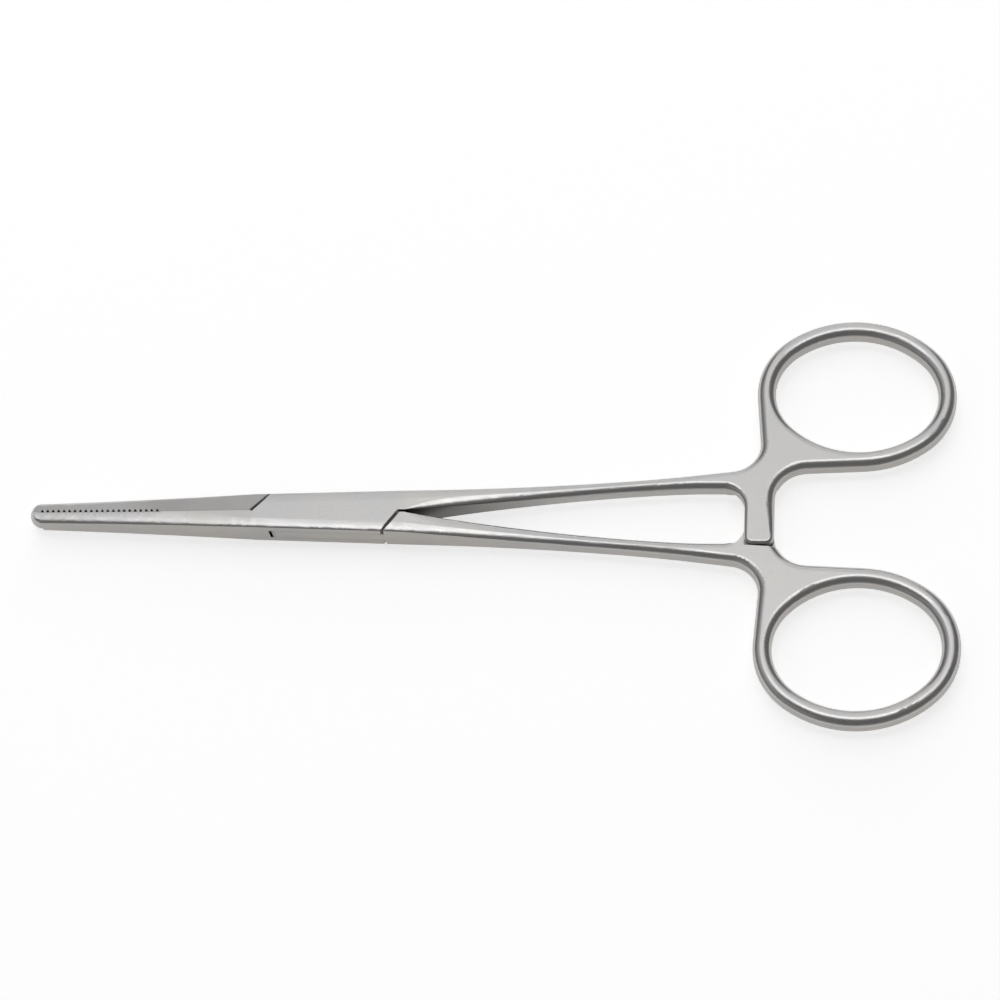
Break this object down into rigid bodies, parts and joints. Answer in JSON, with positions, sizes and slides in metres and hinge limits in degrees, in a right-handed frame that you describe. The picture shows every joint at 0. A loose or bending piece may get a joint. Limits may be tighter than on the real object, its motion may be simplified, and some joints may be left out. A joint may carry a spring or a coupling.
{
  "type": "hemostat forceps",
  "caption": "Straight box-lock hemostat forceps with blunt half-serrated jaws, slim shanks, an interlocking ratchet and oval finger rings, in satin steel.",
  "frame": {"origin": "the pivot axis where it leaves the flat back face of the box", "axes": "+X along the instrument toward the finger rings, +Y toward the ring of the box half, +Z from the back face to the front face"},
  "size_m": [0.1398, 0.0664, 0.0048],
  "materials": {
    "satin_steel": "satin, finely brushed stainless steel with softly polished edges",
    "pin_steel": "ground flush and brushed with the box"
  },
  "bodies": {
    "box": {"box_half": "satin_steel", "pivot_pin": "pin_steel"},
    "tongue": {"tongue_half": "satin_steel"}
  },
  "joints": [
    {"name": "box_lock", "type": "hinge", "parent": "box", "child": "tongue", "pos_m": [0, 0, 0.0024], "axis": [0, 0, -1], "range_deg": [0, 55]}
  ]
}
